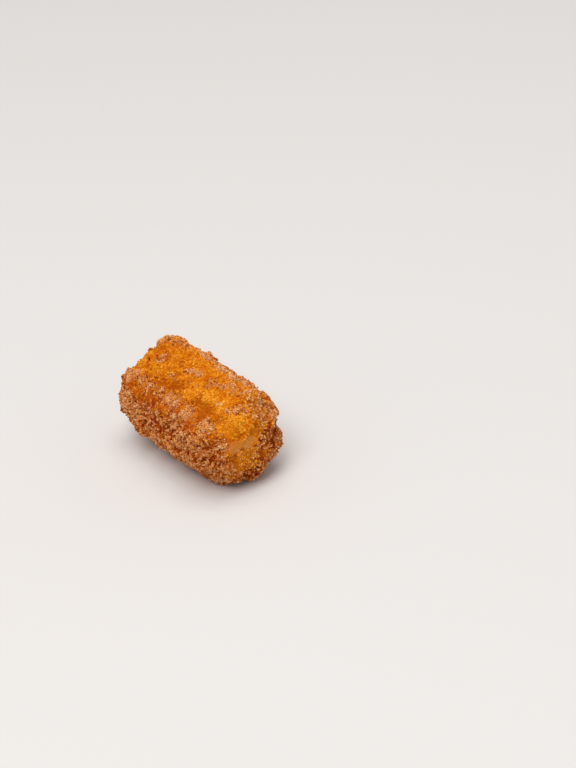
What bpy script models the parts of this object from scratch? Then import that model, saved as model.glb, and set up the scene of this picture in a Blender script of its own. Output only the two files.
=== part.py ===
"""A churro bite: a short length of ridged dough, fried and rolled in cinnamon sugar.

Metres, +Z up. The dough lies along X on two of its ridges. The origin is on the surface that it
rests on, under the middle of its box. Angles run round the X axis from +Y towards +Z.
"""
import math
import random

import bmesh
import bpy
from mathutils import Matrix, Vector, noise

# Size of the piece
LENGTH = 0.0500
ROUND_END_RADIUS = 0.0157   # over the ridges, at the +X end
BLUNT_END_RADIUS = 0.0162   # over the ridges, at the -X end
REST_DEPTH = 0.00040        # how far the two lowest ridges are pressed flat

# Foot: the pressed underside, which touches the floor at its four corners and inside its margin
FOOT_MIDDLE = -0.0030       # along X
FOOT_HALF_LENGTH = 0.0168
FOOT_HALF_WIDTH = 0.0072
FOOT_MARGIN = 0.0010
FOOT_LIFT = 0.00005         # height of the underside at the edge of the margin
FOOT_RISE = 0.14            # slope of the underside from there outwards

# Star section: each groove's angle in degrees, its mean depth, and the x where it is deepest.
# Ridge k lies between groove k and the next one. The two ridges beside the groove at 270 degrees
# carry the piece.
GROOVES = (
    (46.0, 0.0018, 0.006),
    (94.0, 0.0012, -0.013),
    (125.0, 0.0016, -0.0065),
    (174.0, 0.0018, 0.005),
    (224.0, 0.0021, 0.003),
    (270.0, 0.0032, -0.008),
    (316.0, 0.0021, 0.009),
    (358.0, 0.0020, 0.001),
)
GROOVE_SOFTNESS = 0.15
GROOVE_SWING = 0.30         # share by which a groove's depth comes and goes along it
GROOVE_SWING_LENGTH = 0.020

# Knuckles that the nozzle leaves along each ridge
KNUCKLE_PITCH = 0.0095
KNUCKLE_HEIGHT = 0.00040
KNUCKLE_START = -1.8        # radians
KNUCKLE_STAGGER = 1.9       # radians from one ridge to the next

# Blunt end: a nearly flat face with ridge tips that run past it
BLUNT_CORNER = 0.0042
BLUNT_CORNER_STEPS = 4
BLUNT_FACE_STEPS = (0.26, 0.50)
BLUNT_DISH = 0.0006
TIP_REACH = (0.0030, -0.0006, 0.0027, 0.0024, -0.0009, -0.0003, 0.0008, 0.0012)
TIP_FADE = 0.005            # length over which the reach dies away

# Round end: a dome with a small cut face, off the axis
DOME_LENGTH = 0.0125
DOME_STEPS = 8
CUT_FACE_RADIUS = 0.0046
CUT_FACE_SHIFT = Vector((0.0, -0.0032, 0.0002))
DOME_RIDGE_SHARE = 0.10     # share of the groove depth that is left at the cut face

# Faces of the smooth dough, and the even mesh that the crust is made on
FACES_PER_RIDGE = 8
RING_PITCH = 0.00140
CRUST_MESH_SIZE = 0.00157

# Uneven crust, as (size of the bumps, height)
CRUST_BUMPS = ((0.013, 0.0008), (0.0058, 0.0007), (0.0030, 0.0009))
CRUST_GRIT = 0.00034
CUT_FACE_SMOOTHNESS = 0.85  # share of the bumps that the cut face lacks
FLOOR_SMOOTHING = 0.0016    # height over which the crust's grit comes in above the floor

# Hollows where crust or sugar came away, and swellings where the crust puffed up, with a depth
# below 0. Each is (x, angle in degrees, distance from the axis, size, depth).
HOLLOWS = (
    (-0.0105, 154.0, 0.0155, 0.0050, 0.0008),
    (-0.0200, 209.0, 0.0150, 0.0070, 0.0015),
    (-0.0100, 204.0, 0.0154, 0.0060, 0.0007),
    (-0.0225, 174.0, 0.0142, 0.0060, -0.0010),
    (-0.0235, 112.0, 0.0152, 0.0040, 0.0008),
    (-0.0225, 82.0, 0.0158, 0.0045, -0.0007),
    (0.0232, 245.0, 0.0080, 0.0026, 0.0012),
    (0.0215, 3.0, 0.0105, 0.0030, 0.0013),
    (0.0185, 38.0, 0.0143, 0.0065, 0.0018),
    (0.0040, 43.0, 0.0146, 0.0075, -0.0013),
    (0.0220, 276.0, 0.0115, 0.0060, -0.0011),
    (-0.0140, 335.0, 0.0158, 0.0040, 0.0008),
    (0.0120, 205.0, 0.0158, 0.0035, 0.0006),
)

# Clumps of sugar and crumb that stand on the crust
SEED = 4127
CLUMP_COUNT = 96
CLUMP_LARGEST = 0.00150     # radius
CLUMP_SMALLEST = 0.00080
CLUMP_SPACING = 1.2         # share of the two radii that two clumps keep apart
CLUMP_SINK = 0.20           # share of its radius that a clump's centre lies below the crust
CLUMP_FLATNESS = 0.75
CLUMP_ROUGHNESS = 0.26
CLUMP_STRETCH = 0.25
CLUMP_TRIES = 40
FLOOR_GAP = 0.0004
STEEPEST_UNDERSIDE = -0.75  # lowest normal that still takes a clump
GROOVE_CLUMP_SHARE = 0.35   # how often a clump is kept in a groove, against on a ridge
TOP_CLUMP_SHARE = 0.40      # the same for the top, which rubbed off on its neighbours
TOP_HALF_WIDTH = math.radians(62.0)

# Crumbs that stand out from the rim of the blunt end, as (angle in degrees, radius, lift)
RIM_CRUMBS = ((104.0, 0.00110, 0.0013), (100.0, 0.00095, 0.0003), (127.0, 0.00085, 0.0001))
RIM_LEAN = 0.6              # how far they lean past the end, against out from the axis
RIM_INSET = 0.008           # from the blunt end to the point on the axis that they lean from

CRUST_COLOUR = (0.52, 0.17, 0.022, 1.0)
CRUST_ROUGHNESS = 0.62
CREASE_ANGLE = math.radians(24.0)


def clear_scene():
    for item in list(bpy.data.objects):
        bpy.data.objects.remove(item, do_unlink=True)


def crust_material():
    material = bpy.data.materials.new("sugared dough")
    material.use_nodes = True
    shader = material.node_tree.nodes["Principled BSDF"]
    shader.inputs["Base Color"].default_value = CRUST_COLOUR
    shader.inputs["Roughness"].default_value = CRUST_ROUGHNESS
    shader.inputs["Metallic"].default_value = 0.0
    return material


def mix(start, end, share):
    return start + (end - start) * share


def around_axis(x, radius, angle):
    return Vector((x, radius * math.cos(angle), radius * math.sin(angle)))


def radius_at(x):
    """Radius over the ridges, which tapers a little from the blunt end to the round one."""
    return mix(BLUNT_END_RADIUS, ROUND_END_RADIUS, x / LENGTH + 0.5)


def groove_angle(index):
    """Angle of a groove, counted on past the last one."""
    turns, index = divmod(index, len(GROOVES))
    return math.radians(GROOVES[index][0]) + turns * math.tau


def ridge_middle(index):
    return (groove_angle(index) + groove_angle(index + 1)) / 2


def axis_height():
    """Height of the axis, with the two ridges beside the bottom groove pressed flat."""
    bottom = [math.degrees(ridge_middle(index)) for index in range(len(GROOVES))]
    lowest = min(bottom, key=lambda angle: math.sin(math.radians(angle)))
    return -radius_at(0.0) * math.sin(math.radians(lowest)) - REST_DEPTH


def crest(share):
    """Height across a ridge: 0 in the grooves beside it, 1 at its middle."""
    rise = math.hypot(math.sin(math.pi * share), GROOVE_SOFTNESS) - GROOVE_SOFTNESS
    return rise / (math.hypot(1.0, GROOVE_SOFTNESS) - GROOVE_SOFTNESS)


def groove_depth(x, index):
    _, depth, deepest = GROOVES[index % len(GROOVES)]
    swing = math.cos(math.tau * (x - deepest) / GROOVE_SWING_LENGTH)
    return depth * (1.0 + GROOVE_SWING * swing)


def knuckle(x, index):
    start = KNUCKLE_START + KNUCKLE_STAGGER * index
    return KNUCKLE_HEIGHT * math.sin(math.tau * x / KNUCKLE_PITCH + start)


def blunt_rings():
    """Rings of the blunt end as (x, radius, ridge share, cut share), from its middle outwards."""
    rings = []
    end = -LENGTH / 2
    for step in BLUNT_FACE_STEPS:
        rings.append((end + BLUNT_DISH * (1.0 - step), BLUNT_END_RADIUS * step, step, 0.0))
    for step in range(BLUNT_CORNER_STEPS):
        turn = step / BLUNT_CORNER_STEPS * math.pi / 2
        x = end + BLUNT_CORNER * (1.0 - math.cos(turn))
        radius = BLUNT_END_RADIUS - BLUNT_CORNER * (1.0 - math.sin(turn))
        rings.append((x, radius, 1.0, 0.0))
    return rings


def side_rings():
    start = -LENGTH / 2 + BLUNT_CORNER
    end = LENGTH / 2 - DOME_LENGTH
    steps = round((end - start) / RING_PITCH)
    places = [mix(start, end, step / steps) for step in range(steps + 1)]
    return [(x, radius_at(x), 1.0, 0.0) for x in places]


def dome_rings():
    """Rings of the round end, which move over towards the cut face as they shrink."""
    rings = []
    start = LENGTH / 2 - DOME_LENGTH
    spread = radius_at(start) - CUT_FACE_RADIUS
    for step in range(1, DOME_STEPS + 1):
        turn = step / DOME_STEPS * math.pi / 2
        ridge = mix(1.0, DOME_RIDGE_SHARE, (step / DOME_STEPS) ** 2)
        x = start + DOME_LENGTH * math.sin(turn)
        rings.append((x, CUT_FACE_RADIUS + spread * math.cos(turn), ridge, 1.0 - math.cos(turn)))
    rings.append((LENGTH / 2, CUT_FACE_RADIUS / 2, 0.0, 1.0))
    return rings


def surface_point(ring, index, share):
    """Point of a ring on ridge index, share of the way across it."""
    x, radius, ridge, cut = ring
    rise = crest(share)
    depth = groove_depth(x, index if share < 0.5 else index + 1)
    angle = mix(groove_angle(index), groove_angle(index + 1), share)
    tip = ridge * max(0.0, 1.0 - (x + LENGTH / 2) / TIP_FADE)
    radius += ridge * (knuckle(x, index) * rise ** 2 - depth * (1.0 - rise))
    shift = CUT_FACE_SHIFT * cut + Vector((0.0, 0.0, axis_height()))
    return around_axis(x - tip * TIP_REACH[index] * rise, radius, angle) + shift


def ring_points(ring):
    spots = [(ridge, step) for ridge in range(len(GROOVES)) for step in range(FACES_PER_RIDGE)]
    return [surface_point(ring, ridge, step / FACES_PER_RIDGE) for ridge, step in spots]


def cut_face_centre():
    return Vector((LENGTH / 2, 0.0, axis_height())) + CUT_FACE_SHIFT


def loft(mesh):
    """Rings of points joined by faces, with a fan over each end."""
    rings = blunt_rings() + side_rings() + dome_rings()
    loops = [[mesh.verts.new(point) for point in ring_points(ring)] for ring in rings]
    for low, high in zip(loops, loops[1:]):
        for step in range(len(low)):
            mesh.faces.new((low[step - 1], high[step - 1], high[step], low[step]))
    blunt = mesh.verts.new((BLUNT_DISH - LENGTH / 2, 0.0, axis_height()))
    cut = mesh.verts.new(cut_face_centre())
    for step in range(len(loops[0])):
        mesh.faces.new((blunt, loops[0][step - 1], loops[0][step]))
        mesh.faces.new((cut, loops[-1][step], loops[-1][step - 1]))


def hollow_depth(point):
    depth = 0.0
    for x, degrees, radius, size, deepest in HOLLOWS:
        centre = around_axis(x, radius, math.radians(degrees)) + Vector((0.0, 0.0, axis_height()))
        nearness = max(0.0, 1.0 - (point - centre).length / size)
        depth += deepest * nearness * nearness * (3.0 - 2.0 * nearness)
    return depth


def crust_move(point, normal, draw):
    """Where a point of the smooth dough goes in the uneven crust, less so on the cut face."""
    height = -hollow_depth(point)
    for layer, (size, amount) in enumerate(CRUST_BUMPS):
        height += amount * noise.noise(point / size + Vector((0.0, 0.0, layer * 11.7)))
    grit = Vector([CRUST_GRIT * draw.uniform(-1.0, 1.0) for axis in range(3)])
    grit *= min(1.0, max(0.0, point.z / FLOOR_SMOOTHING))
    away = (point - cut_face_centre()).length / CUT_FACE_RADIUS - 0.8
    share = mix(1.0 - CUT_FACE_SMOOTHNESS, 1.0, min(1.0, max(0.0, away)))
    return (normal * height + grit) * share


def underside(x, y):
    """Lowest height that the crust may have: the floor under the foot, a little more round it."""
    past_end = abs(x - FOOT_MIDDLE) - FOOT_HALF_LENGTH
    past_side = abs(y) - FOOT_HALF_WIDTH
    past = max(past_end, past_side) + FOOT_MARGIN
    return FOOT_LIFT + FOOT_RISE * past if past > 0.0 else 0.0


def stand_on_corners(mesh):
    """Brings one vertex to each corner of the foot."""
    for x in (FOOT_MIDDLE - FOOT_HALF_LENGTH, FOOT_MIDDLE + FOOT_HALF_LENGTH):
        for y in (-FOOT_HALF_WIDTH, FOOT_HALF_WIDTH):
            corner = Vector((x, y, 0.0))
            nearest = min(mesh.verts, key=lambda vertex: (vertex.co - corner).length)
            nearest.co = corner


def roughen(mesh, draw):
    """Crags in the crust, and the underside pressed flat where the lowest ridges rest."""
    mesh.normal_update()
    moves = [crust_move(vertex.co, vertex.normal, draw) for vertex in mesh.verts]
    for vertex, move in zip(mesh.verts, moves):
        vertex.co += move
        vertex.co.z = max(vertex.co.z, underside(vertex.co.x, vertex.co.y))
    stand_on_corners(mesh)


def apply_modifiers(thing):
    """Replaces an object's mesh by what its modifiers make of it."""
    evaluated = thing.evaluated_get(bpy.context.evaluated_depsgraph_get())
    data = bpy.data.meshes.new_from_object(evaluated)
    thing.modifiers.clear()
    thing.data = data


def make_smooth_dough():
    mesh = bmesh.new()
    loft(mesh)
    bmesh.ops.recalc_face_normals(mesh, faces=mesh.faces[:])
    data = bpy.data.meshes.new("churro")
    mesh.to_mesh(data)
    mesh.free()
    dough = bpy.data.objects.new("churro", data)
    bpy.context.scene.collection.objects.link(dough)
    return dough


def make_dough(draw):
    """The smooth dough remeshed with faces of one size, then given its crust."""
    dough = make_smooth_dough()
    remesh = dough.modifiers.new("even faces", "REMESH")
    remesh.mode = "VOXEL"
    remesh.voxel_size = CRUST_MESH_SIZE
    apply_modifiers(dough)
    mesh = bmesh.new()
    mesh.from_mesh(dough.data)
    roughen(mesh, draw)
    bmesh.ops.triangulate(mesh, faces=mesh.faces[:])
    mesh.to_mesh(dough.data)
    mesh.free()
    return dough


def across_ridge(angle):
    """Share of the way across its ridge at which an angle lies."""
    angle = (angle - groove_angle(0)) % math.tau + groove_angle(0)
    for index in range(len(GROOVES)):
        start, end = groove_angle(index), groove_angle(index + 1)
        if angle <= end:
            return (angle - start) / (end - start)
    return 0.0


def clump_chance(place):
    """How readily sugar stays at a place: most on ridges and sides, least on the rubbed top."""
    if (place - cut_face_centre()).length < CUT_FACE_RADIUS * 1.3:
        return 0.0
    angle = math.atan2(place.z - axis_height(), place.y)
    chance = mix(GROOVE_CLUMP_SHARE, 1.0, crest(across_ridge(angle)))
    if abs(angle - math.pi / 2) < TOP_HALF_WIDTH:
        chance *= TOP_CLUMP_SHARE
    return chance


def clump_spots(data, draw):
    """Places for the clumps, largest first, each clear of the others and of the floor."""
    faces = [face for face in data.polygons if face.normal.z > STEEPEST_UNDERSIDE]
    weights = [face.area * clump_chance(face.center) for face in faces]
    spots = []
    for number in range(CLUMP_COUNT):
        radius = mix(CLUMP_LARGEST, CLUMP_SMALLEST, math.sqrt(number / CLUMP_COUNT))
        for _ in range(CLUMP_TRIES):
            face = draw.choices(faces, weights)[0]
            place = face.center - face.normal * radius * CLUMP_SINK
            gaps = [(place - other).length - (radius + size) * CLUMP_SPACING for other, _, size in spots]
            if place.z > radius + FLOOR_GAP and min(gaps, default=1.0) > 0.0:
                spots.append((place, face.normal.copy(), radius))
                break
    return spots


def rim_spots(dough):
    """Places for the crumbs that stand out from the rim of the blunt end."""
    bpy.context.view_layer.update()
    spots = []
    inside = Vector((RIM_INSET - LENGTH / 2, 0.0, axis_height()))
    for degrees, radius, lift in RIM_CRUMBS:
        out = around_axis(-RIM_LEAN, 1.0, math.radians(degrees)).normalized()
        _, rim, _, _ = dough.ray_cast(inside + out * LENGTH, -out)
        spots.append((rim + out * lift, out, radius))
    return spots


def make_clump(place, normal, radius, draw):
    """A rough little stone of sugar, flattened against the crust."""
    mesh = bmesh.new()
    bmesh.ops.create_icosphere(mesh, subdivisions=1, radius=radius)
    stretch = 1.0 + CLUMP_STRETCH * draw.uniform(-1.0, 1.0)
    for vertex in mesh.verts:
        vertex.co *= 1.0 + CLUMP_ROUGHNESS * draw.uniform(-1.0, 1.0)
        vertex.co.x *= stretch
        vertex.co.z *= CLUMP_FLATNESS
    spin = Matrix.Rotation(draw.uniform(0.0, math.tau), 4, "Z")
    lean = normal.to_track_quat("Z", "Y").to_matrix().to_4x4()
    bmesh.ops.transform(mesh, matrix=Matrix.Translation(place) @ lean @ spin, verts=mesh.verts[:])
    data = bpy.data.meshes.new("clump")
    mesh.to_mesh(data)
    mesh.free()
    return bpy.data.objects.new("clump", data)


def fuse(dough, clumps):
    """One union of the dough with every clump, applied, and the clumps removed."""
    union = dough.modifiers.new("fuse clumps", "BOOLEAN")
    union.operation = "UNION"
    union.operand_type = "COLLECTION"
    union.collection = clumps
    union.solver = "MANIFOLD"
    apply_modifiers(dough)
    for clump in list(clumps.objects):
        bpy.data.objects.remove(clump, do_unlink=True)
    bpy.data.collections.remove(clumps)


def centre_on_floor(dough):
    """Moves the mesh so that its box stands on z = 0, centred over the origin."""
    points = [vertex.co for vertex in dough.data.vertices]
    low = Vector([min(point[axis] for point in points) for axis in range(3)])
    high = Vector([max(point[axis] for point in points) for axis in range(3)])
    middle = (low + high) / 2
    dough.data.transform(Matrix.Translation((-middle.x, -middle.y, -low.z)))


def main():
    clear_scene()
    draw = random.Random(SEED)
    dough = make_dough(draw)
    clumps = bpy.data.collections.new("clumps")
    bpy.context.scene.collection.children.link(clumps)
    for place, normal, radius in clump_spots(dough.data, draw) + rim_spots(dough):
        clumps.objects.link(make_clump(place, normal, radius, draw))
    fuse(dough, clumps)
    centre_on_floor(dough)
    dough.data.materials.clear()
    dough.data.materials.append(crust_material())
    dough.data.shade_smooth()
    dough.data.set_sharp_from_angle(angle=CREASE_ANGLE)


main()
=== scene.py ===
"""Looks of the churro bite: fried dough under a crust of cinnamon sugar, on a pale floor.

Metres, in the part's frame: +X towards the domed end, +Z up. Angles are in degrees round the
dough's axis, from +Y towards +Z, as in the part's source.
"""

import bmesh
import bpy
import numpy as np
from mathutils import Matrix, Vector, noise


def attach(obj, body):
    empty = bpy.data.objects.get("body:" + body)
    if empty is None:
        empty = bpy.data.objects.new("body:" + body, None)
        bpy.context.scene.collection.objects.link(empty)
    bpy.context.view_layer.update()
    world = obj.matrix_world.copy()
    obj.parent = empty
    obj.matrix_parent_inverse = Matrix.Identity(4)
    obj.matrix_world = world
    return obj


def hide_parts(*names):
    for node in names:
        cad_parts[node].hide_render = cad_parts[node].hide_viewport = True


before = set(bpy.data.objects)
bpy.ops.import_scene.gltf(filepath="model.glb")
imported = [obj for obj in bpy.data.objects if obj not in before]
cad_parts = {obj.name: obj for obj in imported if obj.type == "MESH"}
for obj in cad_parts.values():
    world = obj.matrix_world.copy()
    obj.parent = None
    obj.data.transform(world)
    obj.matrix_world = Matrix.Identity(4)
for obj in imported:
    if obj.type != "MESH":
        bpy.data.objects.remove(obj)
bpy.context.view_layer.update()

SEED = 2209
AXIS_HEIGHT = 0.0144            # of the dough's axis above the floor

# Camera, at the photograph's viewing angle
CAMERA_PLACE = Vector((0.56284801, -0.33940983, 0.41175683))
CAMERA_RIGHT = Vector((0.57563299, 0.81589233, -0.05446427))
CAMERA_DOWN = Vector((0.38973882, -0.33230471, -0.85888138))
CAMERA_FORWARD = Vector((-0.71885347, 0.47317362, -0.50927048))
CAMERA_LENS = 119.34            # mm
SENSOR_WIDTH = 36.0             # mm

# Lights, aimed at the origin: name, place, diameter, power and colour
LIGHTS = (
    ("key", (0.02, 0.12, 1.44), 1.10, 7.5, (1.0, 0.988, 0.972)),
    ("fill", (0.42, -0.66, 1.22), 0.90, 9.9, (1.0, 0.99, 0.98)),
)
SKY_COLOUR = (1.0, 0.99, 0.98)
SKY_STRENGTH = 0.44
FLOOR_REACH = 6.0

# Crust mesh: an even fine mesh of the part's solid, with its facets smoothed away
WELD_DISTANCE = 1e-6
CRUST_VOXEL = 0.00033
SMOOTHING_ROUNDS = 9
SMOOTHING_SHARE = 0.5           # how far each round moves a corner towards its neighbours

# Relief as (cell size, height, shift of the pattern): rounded lumps of stuck sugar, then noise
CRUST_LUMPS = ((0.0020, 0.00050, 0.0), (0.00105, 0.00045, 5.0))
CRUST_NOISE = ((0.0055, 0.00022, 9.0), (0.00075, 0.00016, 13.0))
LUMP_MIDDLE = 0.52              # distance from a lump's middle at which its relief is zero, in cells
CRUST_SINK = 0.00022            # how far the crust lies under the solid's surface, for the grains on it
PILE_HEIGHT = 0.00034           # how far above the crust a grain can lie on the others
FLOOR_CLEARANCE = 0.00002
PIT_DEPTH = 0.9                 # how much deeper the gaps are where there is sugar
# A pit is a gap of the relief, painted dark red: painted shade.
PIT_SHADE_HEIGHTS = (-0.00038, 0.00004)   # relief at which a place is wholly a pit, and at which it is none
PIT_SHADE_LEVEL = 0.28                # how strong the painted shade of a pit is without sugar, and what sugar and patches change
PIT_SHADE_SUGAR = 1.1
PIT_SHADE_PATCH = 0.75

# How strong the relief is: a level, what sugar adds, and what the other places take off
ROUGH_LEVEL = 0.78
ROUGH_SUGAR = 0.52
ROUGH_GROOVE = 0.20
ROUGH_PATCH = 0.55
ROUGH_FACE = 0.72
ROUGH_MOST = 1.2

# Places on the crust, each as (x, angle, distance from the axis, radius, amount)
SUGAR_PATCHES = (
    (-0.0187, 141.0, 0.0154, 0.0030, 0.70),
    (-0.0145, 141.0, 0.0153, 0.0026, 0.70),
    (-0.0098, 141.0, 0.0153, 0.0026, 0.75),
    (-0.0051, 140.0, 0.0154, 0.0028, 0.80),
    (0.0012, 141.0, 0.0157, 0.0042, 1.00),
    (0.0098, 141.0, 0.0154, 0.0033, 0.66),
    (0.0190, 140.0, 0.0147, 0.0034, 0.85),
    (-0.0141, 107.0, 0.0160, 0.0026, 0.75),
    (-0.0016, 98.0, 0.0150, 0.0018, 0.55),
    (0.0013, 94.0, 0.0152, 0.0018, 0.55),
    (0.0078, 92.0, 0.0147, 0.0022, 0.60),
    (0.0117, 88.0, 0.0144, 0.0022, 0.52),
    (0.0116, 76.0, 0.0148, 0.0020, 0.45),
    (0.0160, 84.0, 0.0142, 0.0022, 0.32),
    (-0.0225, 80.0, 0.0155, 0.0042, 0.60),
    (-0.0185, 70.0, 0.0164, 0.0036, 0.50),
    (-0.0202, 171.0, 0.0145, 0.0050, 0.55),
    (-0.0217, 144.0, 0.0157, 0.0040, 0.55),
    (-0.0151, 42.0, 0.0157, 0.0046, 0.75),
    (-0.0075, 48.0, 0.0155, 0.0044, 0.80),
    (-0.0013, 54.0, 0.0154, 0.0040, 0.80),
    (0.0058, 50.0, 0.0151, 0.0040, 0.80),
    (0.0130, 54.0, 0.0148, 0.0028, 0.65),
    (0.0196, 51.0, 0.0131, 0.0032, 0.60),
    (-0.0028, 161.0, 0.0156, 0.0022, 0.50),
    (0.0118, 173.0, 0.0149, 0.0044, 0.38),
    (0.0258, 205.0, 0.0092, 0.0034, 0.60),
    (0.0197, 235.0, 0.0125, 0.0040, 0.50),
    (0.0190, 71.0, 0.0151, 0.0034, 0.30),
    (0.0211, 62.0, 0.0135, 0.0040, 0.34),
    (0.0233, 70.0, 0.0115, 0.0036, 0.30),
    (0.0234, 50.0, 0.0094, 0.0036, 0.32),
    (0.0200, 29.0, 0.0121, 0.0044, 0.42),
    (-0.0146, 99.0, 0.0154, 0.0013, 0.50),
    (-0.0053, 116.0, 0.0153, 0.0010, 0.42),
    (-0.0030, 117.0, 0.0153, 0.0010, 0.40),
    (0.0058, 109.0, 0.0154, 0.0010, 0.40),
    (0.0087, 101.0, 0.0151, 0.0012, 0.42),
    (0.0170, 110.0, 0.0143, 0.0012, 0.38),
    (0.0208, 109.0, 0.0133, 0.0015, 0.45),
    (0.0220, 98.0, 0.0125, 0.0017, 0.50),
    (0.0226, 88.0, 0.0117, 0.0016, 0.36),
    (0.0249, 153.0, 0.0108, 0.0026, 0.60),
    (-0.0196, 169.0, 0.0154, 0.0026, 0.50),
    (-0.0139, 183.0, 0.0145, 0.0024, 0.50),
    (-0.0001, 168.0, 0.0150, 0.0022, 0.55),
    (0.0077, 180.0, 0.0147, 0.0026, 0.40),
    (0.0040, 160.0, 0.0140, 0.0036, 0.60),
    (-0.0122, 170.0, 0.0143, 0.0030, 0.45),
    (-0.0115, 57.0, 0.0155, 0.0026, 0.80),
    (-0.0075, 61.0, 0.0158, 0.0026, 0.85),
    (-0.0038, 66.0, 0.0160, 0.0026, 0.85),
    (0.0000, 63.0, 0.0152, 0.0026, 0.90),
    (0.0045, 69.0, 0.0160, 0.0022, 0.85),
    (0.0085, 67.0, 0.0154, 0.0019, 0.85),
    (0.0143, 67.0, 0.0153, 0.0014, 0.60),
    (0.0180, 67.0, 0.0153, 0.0016, 0.60),
)
BARE_PATCHES = (
    (-0.0172, 150.0, 0.0155, 0.0036, 0.90),
    (-0.0145, 154.0, 0.0149, 0.0046, 1.00),
    (-0.0100, 155.0, 0.0150, 0.0048, 1.00),
    (-0.0052, 153.0, 0.0152, 0.0046, 1.00),
    (0.0000, 152.0, 0.0164, 0.0038, 0.95),
    (0.0145, 150.0, 0.0155, 0.0034, 0.80),
    (0.0215, 152.0, 0.0130, 0.0032, 0.75),
    (0.0253, 117.0, 0.0075, 0.0062, 1.00),
    (0.0262, 208.0, 0.0044, 0.0092, 0.80),
    (0.0256, 312.0, 0.0040, 0.0056, 0.60),
)
# Dark red spots: partly the dough's own red, partly painted shade at the rim of the domed end.
RED_AND_SHADE_SPOTS = (
    (-0.0109, 161.0, 0.0141, 0.0015, 0.80),
    (-0.0061, 155.0, 0.0151, 0.0021, 1.00),
    (-0.0055, 177.0, 0.0151, 0.0021, 0.90),
    (-0.0023, 181.0, 0.0152, 0.0016, 0.35),
    (0.0240, 253.0, 0.0089, 0.0032, 1.00),
    (0.0251, 32.0, 0.0080, 0.0024, 0.95),
    (0.0250, 29.0, 0.0064, 0.0018, 0.80),
    (0.0242, 8.0, 0.0092, 0.0024, 0.80),
    (0.0245, 343.0, 0.0084, 0.0018, 0.60),
    (0.0262, 297.0, 0.0058, 0.0028, 0.75),
    (0.0236, 293.0, 0.0110, 0.0024, 0.70),
    (0.0120, 172.0, 0.0150, 0.0016, 0.50),
)
# Places along the grooves painted darker: painted shade.
GROOVE_SHADE_PLACES = (
    (-0.0129, 133.0, 0.0149, 0.0028, 0.55),
    (-0.0082, 131.0, 0.0144, 0.0036, 0.95),
    (-0.0032, 129.0, 0.0146, 0.0036, 1.00),
    (0.0010, 126.0, 0.0149, 0.0032, 0.80),
    (0.0100, 125.0, 0.0139, 0.0036, 0.90),
    (0.0150, 125.0, 0.0139, 0.0038, 1.00),
    (0.0186, 125.0, 0.0138, 0.0032, 0.80),
    (-0.0195, 95.0, 0.0156, 0.0026, 0.50),
)
# Paler places on the lobes, the upper rim and the domed end: partly paler crust, partly painted light
# where the light falls on them.
LIT_PALE_LOBES = (
    (-0.0143, 119.0, 0.0149, 0.0040, 0.70),
    (0.0057, 113.0, 0.0153, 0.0040, 0.80),
    (0.0135, 111.0, 0.0148, 0.0044, 0.90),
    (0.0181, 106.0, 0.0136, 0.0042, 0.80),
    (0.0238, 107.0, 0.0108, 0.0046, 1.00),
    (0.0228, 128.0, 0.0106, 0.0048, 0.30),
    (0.0263, 202.0, 0.0028, 0.0050, 0.90),
    (0.0263, 265.0, 0.0046, 0.0034, 0.70),
    (0.0262, 330.0, 0.0030, 0.0036, 1.00),
    (0.0008, 140.0, 0.0157, 0.0044, 0.55),
    (-0.0095, 58.0, 0.0156, 0.0036, 1.30),
    (-0.0020, 62.0, 0.0158, 0.0036, 1.40),
    (0.0060, 64.0, 0.0158, 0.0034, 1.30),
    (0.0140, 62.0, 0.0153, 0.0030, 0.90),
    (0.0100, 78.0, 0.0148, 0.0044, 0.20),
)
DUSKY_PLACES = (
    (-0.0155, 95.0, 0.0153, 0.0044, 0.80),
    (0.0010, 113.0, 0.0159, 0.0034, 0.60),
    (0.0075, 101.0, 0.0152, 0.0026, 0.50),
    (0.0208, 84.0, 0.0136, 0.0034, 0.60),
    (-0.0090, 80.0, 0.0160, 0.0040, 0.50),
)
PLACE_EDGE = (0.20, 1.15)       # of its radius: where a place starts to fade, and where it ends

# Unevenness of the whole crust, as (cell size, shift of the pattern): slow, then fine
DRIFT_NOISE = (0.0060, 3.1)
FINE_NOISE = (0.0019, 8.3)

# The top is rubbed to gold, and the sides keep their sugar
RUBBED_HALF_WIDTH = (38.0, 74.0)    # degrees from the top at which it starts to end, and ends
RUBBED_DRIFT = 12.0             # degrees by which the slow noise moves that
FAR_END = (0.0200, 0.0255)      # distance along -X from which the top is less rubbed, and where least
FAR_END_SUGAR = 0.55            # share of the rubbing that is missing there
BARE_RUBBED = 0.85              # how rubbed a bare patch is
BARE_END = 0.0235               # X beyond which a bare patch is gold, not dark orange
PATCH_LEVEL = 0.92              # of a patch of sugar, and how much the fine noise changes it
PATCH_FINE = 0.60
SUGAR_LEVEL = 0.82              # on the sides, and how much the two noises change it
SUGAR_FINE = 0.30
SUGAR_DRIFT = 0.16
SUGAR_RUBBED = 0.80             # share of that change that rubbing takes off

# Smooth places at the two ends, as (centre, half width along Y, half height along Z)
CUT_FACE = (Vector((0.0258, -0.0031, 0.0175)), 0.0059, 0.0022)
FAR_FACE = (Vector((-0.0250, 0.0002, 0.0148)), 0.0040, 0.0026)
FACE_REACH = 0.0040             # how far along X a smooth place counts
FACE_EDGE = (0.60, 1.20)        # of its half width: where it starts to fade, and where it ends
FACE_NOISE = (0.0016, 33.0)     # unevenness of its edge: cell size and shift of the pattern
FACE_RAGGEDNESS = 0.55

# Colours, linear
GOLD = (0.74, 0.235, 0.002)
# Pale gold of the pale lobes: partly painted light.
PALE_LIT_GOLD = (0.79, 0.300, 0.006)
TOAST = (0.58, 0.130, 0.001)
SIDE_ORANGE = (0.46, 0.075, 0.001)
# Dark brown of the grooves: painted shade.
GROOVE_SHADE_BROWN = (0.42, 0.092, 0.001)
BARE_ORANGE = (0.54, 0.100, 0.001)
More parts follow.
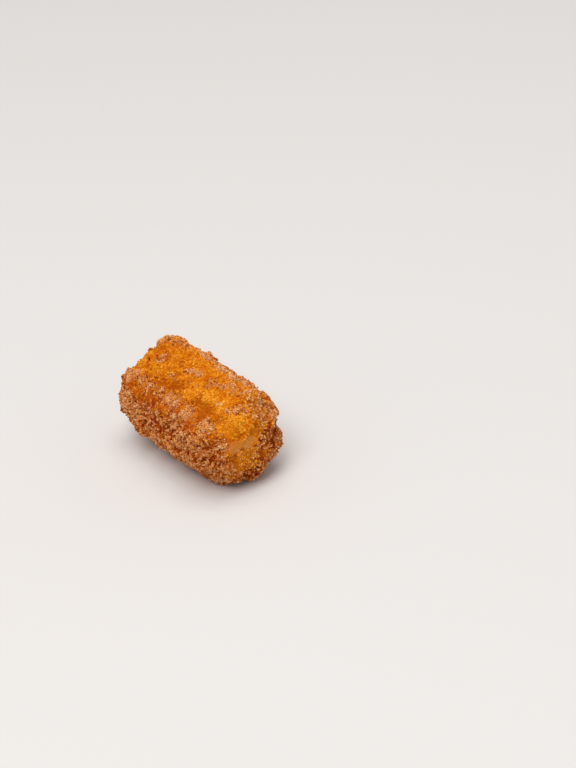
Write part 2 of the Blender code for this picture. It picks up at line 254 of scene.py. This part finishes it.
# Dark red of the pits and the red spots: painted shade in the gaps, partly the dough's own red on the
# spots.
PIT_SHADE_RED = (0.25, 0.013, 0.0005)
FROST = (0.59, 0.190, 0.024)
PATCH_TAN = (0.64, 0.265, 0.070)
CUT_TAN = (0.66, 0.270, 0.038)
CUT_PALE = (0.79, 0.415, 0.130)
FLOOR_COLOUR = (0.765, 0.742, 0.727)
FLOOR_SHADE = (0.70, 0.65, 0.61)
CRUST_GLOSS = 0.05

# Colours laid on the crust under its sugar: share, where it starts, where it is full, amount
# there, and colour
CRUST_COLOURS = (
    # The pale lobes made paler: partly painted light.
    ("paleness_and_light", 0.0, 1.0, 0.75, PALE_LIT_GOLD),
    ("paleness_and_light", 0.0, -1.0, 0.60, TOAST),
    ("rubbed", 0.75, 0.10, 0.85, SIDE_ORANGE),
    # The grooves darkened: painted shade.
    ("groove_shade", 0.0, 1.0, 0.85, GROOVE_SHADE_BROWN),
    ("bare", 0.0, 1.0, 0.75, BARE_ORANGE),
)

# Kinds of grain. A grain is sunk by a share of its size. Tones spread about the middle of the
# kind's colours, which run from its darkest grain to its palest
KINDS = {
    "pale_sugar": {
        "count": 12500, "smallest": 0.00030, "largest": 0.00070, "sunk": 0.25,
        "roughness": 0.34, "gloss": 0.14, "spread": 0.19,
        "colours": ((0.54, 0.165, 0.034), (0.77, 0.355, 0.122), (0.87, 0.545, 0.295)),
    },
    "cinnamon_sugar": {
        "count": 16000, "smallest": 0.00030, "largest": 0.00074, "sunk": 0.30,
        "roughness": 0.46, "gloss": 0.06, "spread": 0.20,
        "colours": ((0.24, 0.018, 0.001), (0.54, 0.128, 0.009), (0.73, 0.33, 0.085)),
    },
    "golden_sugar": {
        "count": 16000, "smallest": 0.00028, "largest": 0.00062, "sunk": 0.66,
        "roughness": 0.32, "gloss": 0.06, "spread": 0.13,
        "colours": ((0.46, 0.076, 0.001), (0.77, 0.240, 0.0015), (0.94, 0.45, 0.036)),
    },
    "frosting_sugar": {
        "count": 16000, "smallest": 0.00018, "largest": 0.00036, "sunk": 0.20,
        "roughness": 0.50, "gloss": 0.05, "spread": 0.16,
        "colours": ((0.62, 0.20, 0.036), (0.72, 0.30, 0.078), (0.80, 0.42, 0.150)),
    },
    "cinnamon_dust": {
        "count": 2500, "smallest": 0.00014, "largest": 0.00028, "sunk": 0.30,
        "roughness": 0.70, "gloss": 0.04, "spread": 0.20,
        "colours": ((0.22, 0.014, 0.001), (0.33, 0.034, 0.001), (0.46, 0.08, 0.003)),
    },
}
COLOUR_STOPS = (0.0, 0.45, 1.0)
TRIES = 5                       # places drawn for each grain that is wanted
CLUMP_EDGE = 0.00012            # relief above which a place is on a clump; as far below zero, in a gap
SMALL_GRAINS = 1.6              # a power: the higher, the more of the grains are small
LOW_GRAINS = 1.5                # a power: the higher, the more of them lie low in the pile
RUBBED_PILE = 0.5               # how high grains pile on rubbed crust, as a share of that on sugar
LEAST_HEIGHT = 0.6              # of the largest grain: places nearer the floor get none

# Tone of a grain: its middle, the noises as (amount, cell size, shift of the pattern), and what
# the crust under it changes
TONE_MIDDLE = 0.42
TONE_NOISE = ((0.30, 0.0013, 21.0), (0.14, 0.0042, 27.0))
# Grains paler on the pale lobes: partly painted light.
TONE_PALENESS_AND_LIGHT = 0.22
# Grains darker in the grooves: painted shade.
TONE_GROOVE_SHADE = 0.32
# Grains paler on clumps and darker in the gaps between them: painted light and painted shade.
TONE_CLUMP_LIGHT = 0.16
TONE_PATCH = 0.10
BRIGHT_GRAINS = 0.16            # share of the golden grains that are much paler
BRIGHT_TONE = 0.40
GOLDEN_CLUMP_LIGHT = (0.20, 0.6)      # how much paler golden grains are on a clump, and where that is zero: painted light on clumps, painted shade below that

# A grain is a box with its corners moved at random
CORNERS = np.array([(x, y, z) for x in (-0.5, 0.5) for y in (-0.5, 0.5) for z in (-0.5, 0.5)])
CORNER_JITTER = 0.16
LEAST_SIDES = (1.00, 0.46, 0.38)    # as shares of its size
GREATEST_SIDES = (1.70, 0.78, 0.64)
BOX_FACES = np.array((
    (0, 1, 3), (0, 3, 2), (4, 6, 7), (4, 7, 5), (0, 4, 5), (0, 5, 1),
    (2, 3, 7), (2, 7, 6), (0, 2, 6), (0, 6, 4), (1, 5, 7), (1, 7, 3),
))


def smooth_step(low, high, values):
    share = np.clip((values - low) / (high - low), 0.0, 1.0)
    return share * share * (3.0 - 2.0 * share)


def noise_at(points, size, shift):
    """Smooth noise between about -1 and 1, with features of the given size."""
    move = Vector((shift, 0.0, 0.0))
    return np.array([noise.noise(Vector(point) / size + move) for point in points])


def lumps_at(points, size, shift):
    """Rounded cells of the given size: high in the middle of each, low where they meet."""
    move = Vector((shift, 0.0, 0.0))
    nearest = [noise.voronoi(Vector(point) / size + move)[0][0] for point in points]
    return LUMP_MIDDLE - np.array(nearest)


def degrees_from_top(points):
    angles = np.degrees(np.arctan2(points[:, 2] - AXIS_HEIGHT, points[:, 1])) % 360.0
    return np.abs((angles - 90.0 + 180.0) % 360.0 - 180.0)


def within(points, places):
    """How much of the given places a point is in, up to the largest amount."""
    total = np.zeros(len(points))
    for x, degrees, distance, radius, amount in places:
        turn = np.radians(degrees)
        centre = (x, distance * np.cos(turn), AXIS_HEIGHT + distance * np.sin(turn))
        away = np.linalg.norm(points - np.array(centre), axis=1) / radius
        total = np.maximum(total, amount * (1.0 - smooth_step(*PLACE_EDGE, away)))
    return total


def face_share(points, face):
    """1 on a smooth place at an end, 0 outside it."""
    centre, half_width, half_height = face
    along_y = (points[:, 1] - centre.y) / half_width
    along_z = (points[:, 2] - centre.z) / half_height
    across = np.hypot(along_y, along_z)
    across += FACE_RAGGEDNESS * noise_at(points, *FACE_NOISE)
    near = np.abs(points[:, 0] - centre.x) < FACE_REACH
    return (1.0 - smooth_step(*FACE_EDGE, across)) * near


class Crust:
    """What the crust is like at some points: shares from 0 to 1, and the two that say otherwise."""

    def __init__(self, points):
        drift = noise_at(points, *DRIFT_NOISE)
        fine = noise_at(points, *FINE_NOISE)
        from_top = degrees_from_top(points) + RUBBED_DRIFT * drift
        rubbed = 1.0 - smooth_step(*RUBBED_HALF_WIDTH, from_top)
        rubbed *= 1.0 - FAR_END_SUGAR * smooth_step(*FAR_END, -points[:, 0])
        self.face = np.maximum(face_share(points, CUT_FACE), face_share(points, FAR_FACE))
        self.bare = within(points, BARE_PATCHES)
        patch = within(points, SUGAR_PATCHES) * (1.0 - self.bare)
        self.patch = np.clip(patch * (PATCH_LEVEL + PATCH_FINE * fine), 0.0, 1.0)
        # Red spots: partly the dough's own red, partly painted shade.
        self.red = within(points, RED_AND_SHADE_SPOTS)
        # Places along the grooves that are painted darker: painted shade.
        self.groove_shade = within(points, GROOVE_SHADE_PLACES)
        self.rubbed = np.maximum(rubbed, BARE_RUBBED * self.bare)
        change = (SUGAR_FINE * fine + SUGAR_DRIFT * drift) * (1.0 - SUGAR_RUBBED * self.rubbed)
        sugar = SUGAR_LEVEL * (1.0 - self.rubbed) + change
        self.sugar = np.clip(np.maximum(sugar, self.patch), 0.0, 1.0) * (1.0 - self.face)
        # Above 0 where the crust is paler than around, partly with painted light, below 0 where it is
        # duskier
        self.paleness_and_light = within(points, LIT_PALE_LOBES) - within(points, DUSKY_PLACES)
        # How strong the relief is, up to ROUGH_MOST
        rough = ROUGH_LEVEL + ROUGH_SUGAR * self.sugar
        rough = rough - ROUGH_GROOVE * self.groove_shade - ROUGH_PATCH * self.patch
        self.rough = np.clip(rough, 0.0, ROUGH_MOST) * (1.0 - ROUGH_FACE * self.face)


def new_object(name, data):
    thing = bpy.data.objects.new(name, data)
    bpy.context.scene.collection.objects.link(thing)
    return thing


def coordinates(data, what="co"):
    flat = np.zeros(len(data.vertices) * 3, np.float32)
    data.vertices.foreach_get(what, flat)
    return flat.reshape(-1, 3).astype(float)


def welded_copy(source):
    """The part's mesh with the corners joined that its file keeps apart."""
    mesh = bmesh.new()
    mesh.from_mesh(source.data)
    bmesh.ops.remove_doubles(mesh, verts=mesh.verts[:], dist=WELD_DISTANCE)
    data = bpy.data.meshes.new("crust")
    mesh.to_mesh(data)
    mesh.free()
    return data


def fine_mesh(source):
    """The part's solid in a fine even mesh, with its facets smoothed away."""
    piece = new_object("crust", welded_copy(source))
    remesh = piece.modifiers.new("even", "REMESH")
    remesh.mode = "VOXEL"
    remesh.voxel_size = CRUST_VOXEL
    smooth = piece.modifiers.new("facets", "SMOOTH")
    smooth.factor = SMOOTHING_SHARE
    smooth.iterations = SMOOTHING_ROUNDS
    evaluated = piece.evaluated_get(bpy.context.evaluated_depsgraph_get())
    data = bpy.data.meshes.new_from_object(evaluated)
    piece.modifiers.clear()
    piece.data = data
    return piece


def write_share(data, name, values):
    attribute = data.attributes.new(name, "FLOAT", "POINT")
    attribute.data.foreach_set("value", values.astype(np.float32))


def crust_relief(piece):
    """Lumps and pits over the crust, and the shares that its material and its grains read."""
    points = coordinates(piece.data)
    normals = coordinates(piece.data, "normal")
    crust = Crust(points)
    relief = np.zeros(len(points))
    for size, height, shift in CRUST_LUMPS:
        relief += height * lumps_at(points, size, shift)
    for size, height, shift in CRUST_NOISE:
        relief += height * noise_at(points, size, shift)
    height = relief * crust.rough
    deeper = 1.0 + PIT_DEPTH * crust.sugar * (1.0 - crust.patch)
    height = np.where(height < 0.0, height * deeper, height)
    points += normals * (height - CRUST_SINK * (1.0 - crust.face))[:, None]
    points[:, 2] = np.maximum(points[:, 2], FLOOR_CLEARANCE)
    piece.data.vertices.foreach_set("co", points.astype(np.float32).ravel())
    piece.data.update()
    # Painted shade in the gaps of the relief.
    pit_shade = (1.0 - smooth_step(*PIT_SHADE_HEIGHTS, height)) * (1.0 - PIT_SHADE_PATCH * crust.patch)
    pit_shade = np.clip(pit_shade * (PIT_SHADE_LEVEL + PIT_SHADE_SUGAR * crust.sugar), 0.0, 1.0)
    write_share(piece.data, "height", height)
    write_share(piece.data, "pit_shade", pit_shade)
    write_share(piece.data, "bare", crust.bare * (points[:, 0] < BARE_END))
    for name in ("sugar", "patch", "rubbed", "groove_shade", "face", "red", "paleness_and_light"):
        write_share(piece.data, name, getattr(crust, name))
    piece.data.shade_smooth()


def triangles_of(data):
    data.calc_loop_triangles()
    flat = np.zeros(len(data.loop_triangles) * 3, np.int32)
    data.loop_triangles.foreach_get("vertices", flat)
    return flat.reshape(-1, 3)


def scatter(piece, count, draw):
    """Random points on the crust, with its normal and its relief there."""
    triangles = triangles_of(piece.data)
    corners = coordinates(piece.data)[triangles]
    crossed = np.cross(corners[:, 1] - corners[:, 0], corners[:, 2] - corners[:, 0])
    area = np.linalg.norm(crossed, axis=1)
    chosen = draw.choice(len(area), size=count, p=area / area.sum())
    u, v = draw.random((2, count, 1))
    flip = u + v > 1.0
    u, v = np.where(flip, 1.0 - u, u), np.where(flip, 1.0 - v, v)
    first, second, third = corners[chosen].transpose(1, 0, 2)
    points = first + (second - first) * u + (third - first) * v
    heights = np.zeros(len(piece.data.vertices), np.float32)
    piece.data.attributes["height"].data.foreach_get("value", heights)
    first, second, third = heights[triangles][chosen].T
    height = first + (second - first) * u[:, 0] + (third - first) * v[:, 0]
    return points, crossed[chosen] / area[chosen][:, None], height


def likelihood(kind, crust, clumps, points):
    """How readily a kind of grain stays at a place. The numbers were set one by one."""
    bare = crust.bare * (points[:, 0] < BARE_END)
    if kind == "pale_sugar":
        chance = 0.001 + 0.75 * crust.sugar ** 1.5 * clumps + 0.8 * crust.patch * (0.4 + clumps)
        # Fewer pale grains in the grooves, which keeps their painted shade.
        chance = chance * (1.0 - 0.6 * crust.groove_shade)
    elif kind == "cinnamon_sugar":
        chance = 0.002 + 0.95 * crust.sugar * (0.06 + clumps) * (1.0 - 0.5 * crust.patch)
    elif kind == "golden_sugar":
        chance = 0.15 * (0.2 + clumps) + 0.90 * crust.rubbed * (0.22 + clumps) - 0.12 * crust.groove_shade
        chance = chance * (1.0 - 0.65 * bare)
    elif kind == "frosting_sugar":
        chance = crust.patch ** 1.5
    else:
        chance = 0.9 * crust.sugar ** 2 * (1.0 - crust.patch)
    # Fewer grains on the red spots, which are partly painted shade.
    chance = np.clip(chance, 0.0, 1.0) * (1.0 - 0.90 * crust.face) * (1.0 - 0.9 * crust.red)
    return chance * (1.0 - 0.55 * bare)


def turns(count, draw):
    """Random rotation matrices."""
    quaternions = draw.normal(size=(4, count))
    w, x, y, z = quaternions / np.linalg.norm(quaternions, axis=0)
    return np.array((
        (1 - 2 * (y * y + z * z), 2 * (x * y - z * w), 2 * (x * z + y * w)),
        (2 * (x * y + z * w), 1 - 2 * (x * x + z * z), 2 * (y * z - x * w)),
        (2 * (x * z - y * w), 2 * (y * z + x * w), 1 - 2 * (x * x + y * y)),
    )).transpose(2, 0, 1)


def grain_mesh(name, places, sizes, tones, draw):
    """One mesh of rough little crystals, with each grain's tone on its corners."""
    count = len(places)
    sides = sizes[:, None] * draw.uniform(LEAST_SIDES, GREATEST_SIDES, (count, 3))
    corners = CORNERS[None] * (1.0 + CORNER_JITTER * draw.uniform(-1.0, 1.0, (count, 8, 3)))
    corners = np.einsum("nij,nkj->nki", turns(count, draw), corners * sides[:, None, :])
    corners += places[:, None, :]
    corners[:, :, 2] = np.maximum(corners[:, :, 2], FLOOR_CLEARANCE)
    faces = (BOX_FACES[None] + 8 * np.arange(count)[:, None, None]).reshape(-1, 3)
    data = bpy.data.meshes.new(name)
    data.from_pydata(corners.reshape(-1, 3).tolist(), [], faces.tolist())
    write_share(data, "tone", np.repeat(tones, 8))
    return data


def tones_of(kind, crust, keep, clumps, points, draw):
    """How pale each kept grain is, from 0 to 1."""
    drift = sum(amount * noise_at(points, size, shift) for amount, size, shift in TONE_NOISE)
    # Grains darker in the grooves: painted shade.
    # Grains paler on the pale lobes: partly painted light.
    drift += TONE_PALENESS_AND_LIGHT * crust.paleness_and_light[keep] - TONE_GROOVE_SHADE * crust.groove_shade[keep]
    # Paler on clumps and darker in the gaps between them: painted light and painted shade.
    drift += TONE_CLUMP_LIGHT * (clumps - 0.5)
    tones = draw.normal(TONE_MIDDLE, KINDS[kind]["spread"], len(keep)) + drift
    tones += TONE_PATCH * crust.patch[keep]
    if kind == "golden_sugar":
        # Golden grains paler still on clumps: painted light; darker in the gaps: painted shade.
        amount, level = GOLDEN_CLUMP_LIGHT
        bright = draw.random(len(keep)) < BRIGHT_GRAINS
        tones += BRIGHT_TONE * bright + amount * (clumps - level)
    return np.clip(tones, 0.0, 1.0)


def make_grains(piece, kind, draw):
    """The grains of one kind, where the crust holds them."""
    settings = KINDS[kind]
    count, smallest, largest = settings["count"], settings["smallest"], settings["largest"]
    points, normals, height = scatter(piece, count * TRIES, draw)
    crust = Crust(points)
    clumps = smooth_step(-CLUMP_EDGE, CLUMP_EDGE, height)
    keep = draw.random(len(points)) < likelihood(kind, crust, clumps, points)
    keep &= points[:, 2] > largest * LEAST_HEIGHT
    keep = np.flatnonzero(keep)[:count]
    points, normals, clumps = points[keep], normals[keep], clumps[keep]
    sizes = smallest + (largest - smallest) * draw.random(len(keep)) ** SMALL_GRAINS
    piled = np.maximum(crust.sugar[keep], RUBBED_PILE * crust.rubbed[keep]) * clumps
    lift = sizes * (0.5 - settings["sunk"])
    lift += PILE_HEIGHT * piled * draw.random(len(keep)) ** LOW_GRAINS
    tones = tones_of(kind, crust, keep, clumps, points, draw)
    data = grain_mesh(kind, points + normals * lift[:, None], sizes, tones, draw)
    data.materials.append(grain_material(kind))
    return new_object(kind, data)


class Nodes:
    """Short ways to add and join a material's nodes."""

    def __init__(self, name):
        self.material = bpy.data.materials.new(name)
        self.material.use_nodes = True
        self.tree = self.material.node_tree
        self.shader = self.tree.nodes["Principled BSDF"]

    def add(self, kind, inputs=None, **settings):
        node = self.tree.nodes.new(kind)
        for key, value in settings.items():
            setattr(node, key, value)
        for key, value in (inputs or {}).items():
            self.put(node, key, value)
        return node

    def put(self, node, key, value):
        if hasattr(value, "is_output"):
            self.tree.links.new(value, node.inputs[key])
        else:
            node.inputs[key].default_value = value

    def place(self):
        return self.add("ShaderNodeTexCoord").outputs["Object"]

    def share(self, name):
        return self.add("ShaderNodeAttribute", attribute_name=name).outputs["Fac"]

    def noise(self, size, detail=2.0, roughness=0.5, stretch=1.0):
        """Noise with features of the given size, drawn out along Y where stretch is below 1."""
        place = self.place()
        if stretch != 1.0:
            inputs = {"Vector": place, "Scale": (1.0, stretch, 1.0)}
            place = self.add("ShaderNodeMapping", inputs).outputs[0]
        inputs = {"Vector": place, "Scale": 1.0 / size, "Detail": detail, "Roughness": roughness}
        return self.add("ShaderNodeTexNoise", inputs).outputs["Fac"]

    def cells(self, size):
        """Distance to the nearest point of a pattern of cells of the given size."""
        inputs = {"Vector": self.place(), "Scale": 1.0 / size}
        return self.add("ShaderNodeTexVoronoi", inputs).outputs["Distance"]

    def scale(self, value, low, high, start=0.0, end=1.0):
        """A value between low and high carried over to the range from start to end."""
        inputs = {"Value": value, "From Min": low, "From Max": high, "To Min": start, "To Max": end}
        return self.add("ShaderNodeMapRange", inputs).outputs["Result"]

    def math(self, operation, one, other):
        return self.add("ShaderNodeMath", {0: one, 1: other}, operation=operation).outputs[0]

    def mix(self, share, one, other):
        node = self.add("ShaderNodeMix", data_type="RGBA", clamp_factor=True)
        for socket, value in ((node.inputs[0], share), (node.inputs[6], one), (node.inputs[7], other)):
            if hasattr(value, "is_output"):
                self.tree.links.new(value, socket)
            else:
                socket.default_value = value if isinstance(value, float) else (*value, 1.0)
        return node.outputs[2]

    def lay(self, colour, name, start, full, amount, over):
        """A colour laid over another as far as one of the crust's shares says."""
        return self.mix(self.scale(self.share(name), start, full, 0.0, amount), colour, over)

    def ramp(self, value, colours, stops):
        node = self.add("ShaderNodeValToRGB", {"Fac": value})
        while len(node.color_ramp.elements) < len(colours):
            node.color_ramp.elements.new(0.5)
        for element, colour, stop in zip(node.color_ramp.elements, colours, stops):
            element.position = stop
            element.color = (*colour, 1.0)
        return node.outputs["Color"]

    def bump(self, height, distance, strength, normal=None):
        inputs = {"Height": height, "Distance": distance, "Strength": strength}
        if normal is not None:
            inputs["Normal"] = normal
        return self.add("ShaderNodeBump", inputs).outputs["Normal"]


def cut_crumb(nodes):
    """Colour of the smooth places: pale crumb drawn out in streaks, with toasted cells."""
    streaks = nodes.scale(nodes.noise(0.0007, stretch=0.20), 0.35, 0.65)
    streaks = nodes.mix(streaks, CUT_TAN, CUT_PALE)
    crumb = nodes.mix(nodes.scale(nodes.cells(0.00045), 0.55, 0.15, 0.0, 0.45), TOAST, streaks)
    return nodes.mix(0.50, crumb, streaks)


def crust_material():
    nodes = Nodes("fried_crust")
    colour = nodes.mix(nodes.scale(nodes.noise(0.0045, 3.0), 0.36, 0.66), GOLD, TOAST)
    toasted = nodes.scale(nodes.noise(0.0013), 0.40, 0.64, 0.0, 0.75)
    colour = nodes.mix(toasted, colour, TOAST)
    # Among these layers the grooves get painted shade, and the pale lobes partly painted light.
    for layer in CRUST_COLOURS:
        colour = nodes.lay(colour, *layer)
    grainy = nodes.scale(nodes.cells(0.00055), 0.62, 0.20)
    frost = nodes.scale(nodes.share("sugar"), 0.15, 0.95, 0.0, 0.75)
    colour = nodes.mix(nodes.math("MULTIPLY", frost, grainy), colour, FROST)
    colour = nodes.lay(colour, "patch", 0.0, 1.0, 0.90, PATCH_TAN)
    colour = nodes.lay(colour, "face", 0.0, 1.0, 0.85, cut_crumb(nodes))
    # Gaps of the relief painted dark red: painted shade.
    colour = nodes.lay(colour, "pit_shade", 0.0, 1.0, 0.85, PIT_SHADE_RED)
    # Red spots: partly the dough's own red, partly painted shade.
    colour = nodes.lay(colour, "red", 0.0, 1.0, 0.85, PIT_SHADE_RED)
    nodes.put(nodes.shader, "Base Color", colour)
    roughness = nodes.scale(nodes.noise(0.0009), 0.35, 0.70, 0.34, 0.66)
    nodes.put(nodes.shader, "Roughness", roughness)
    fine = nodes.bump(nodes.noise(0.00030, 3.0, 0.6), 0.00010, 0.55)
    nodes.put(nodes.shader, "Normal", nodes.bump(nodes.cells(0.00050), 0.00012, 0.6, fine))
    nodes.put(nodes.shader, "Specular IOR Level", CRUST_GLOSS)
    nodes.put(nodes.shader, "Subsurface Weight", 0.12)
    nodes.put(nodes.shader, "Subsurface Radius", (1.0, 0.36, 0.10))
    nodes.put(nodes.shader, "Subsurface Scale", 0.0009)
    return nodes.material


def grain_material(kind):
    settings = KINDS[kind]
    nodes = Nodes(kind)
    change = nodes.scale(nodes.noise(0.00028), 0.3, 0.7, -0.18, 0.18)
    tone = nodes.math("ADD", nodes.share("tone"), change)
    nodes.put(nodes.shader, "Base Color", nodes.ramp(tone, settings["colours"], COLOUR_STOPS))
    rough = settings["roughness"]
    roughness = nodes.scale(nodes.noise(0.00020), 0.3, 0.7, rough - 0.12, rough + 0.14)
    nodes.put(nodes.shader, "Roughness", roughness)
    nodes.put(nodes.shader, "Normal", nodes.bump(nodes.noise(0.00012), 0.00003, 0.6))
    nodes.put(nodes.shader, "Specular IOR Level", settings["gloss"])
    return nodes.material


def floor_material():
    nodes = Nodes("pale_floor")
    tint = nodes.scale(nodes.noise(0.35, 3.0), 0.3, 0.7, 0.0, 0.06)
    nodes.put(nodes.shader, "Base Color", nodes.mix(tint, FLOOR_COLOUR, FLOOR_SHADE))
    nodes.put(nodes.shader, "Roughness", 0.85)
    nodes.put(nodes.shader, "Specular IOR Level", 0.2)
    return nodes.material


def dress(piece, draw):
    """The crust and every kind of grain on it."""
    piece.data.materials.clear()
    piece.data.materials.append(crust_material())
    return [piece] + [make_grains(piece, kind, draw) for kind in KINDS]


def add_floor():
    data = bpy.data.meshes.new("floor")
    corners = [(-FLOOR_REACH, -FLOOR_REACH, 0.0), (FLOOR_REACH, -FLOOR_REACH, 0.0)]
    corners += [(FLOOR_REACH, FLOOR_REACH, 0.0), (-FLOOR_REACH, FLOOR_REACH, 0.0)]
    data.from_pydata(corners, [], [(0, 1, 2, 3)])
    data.materials.append(floor_material())
    new_object("floor", data)


def add_camera():
    data = bpy.data.cameras.new("camera")
    data.lens = CAMERA_LENS
    data.sensor_width = SENSOR_WIDTH
    camera = new_object("camera", data)
    axes = Matrix((CAMERA_RIGHT, -CAMERA_DOWN, -CAMERA_FORWARD)).transposed().to_4x4()
    axes.translation = CAMERA_PLACE
    camera.matrix_world = axes
    bpy.context.scene.camera = camera


def add_light(name, place, size, power, colour):
    data = bpy.data.lights.new(name, "AREA")
    data.shape = "DISK"
    data.size = size
    data.energy = power
    data.color = colour
    light = new_object(name, data)
    light.location = place
    light.rotation_euler = (-Vector(place)).to_track_quat("-Z", "Y").to_euler()


def add_sky():
    world = bpy.data.worlds.new("studio")
    bpy.context.scene.world = world
    world.use_nodes = True
    background = world.node_tree.nodes["Background"]
    background.inputs["Color"].default_value = (*SKY_COLOUR, 1.0)
    background.inputs["Strength"].default_value = SKY_STRENGTH
    bpy.context.scene.view_settings.view_transform = "Standard"


def main():
    draw = np.random.default_rng(SEED)
    add_camera()
    piece = fine_mesh(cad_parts["churro"])
    crust_relief(piece)
    for made in dress(piece, draw):
        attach(made, "root")
        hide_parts("churro")
        print(made.name, len(triangles_of(made.data)), "triangles")
    add_floor()
    for light in LIGHTS:
        add_light(*light)
    add_sky()


main()
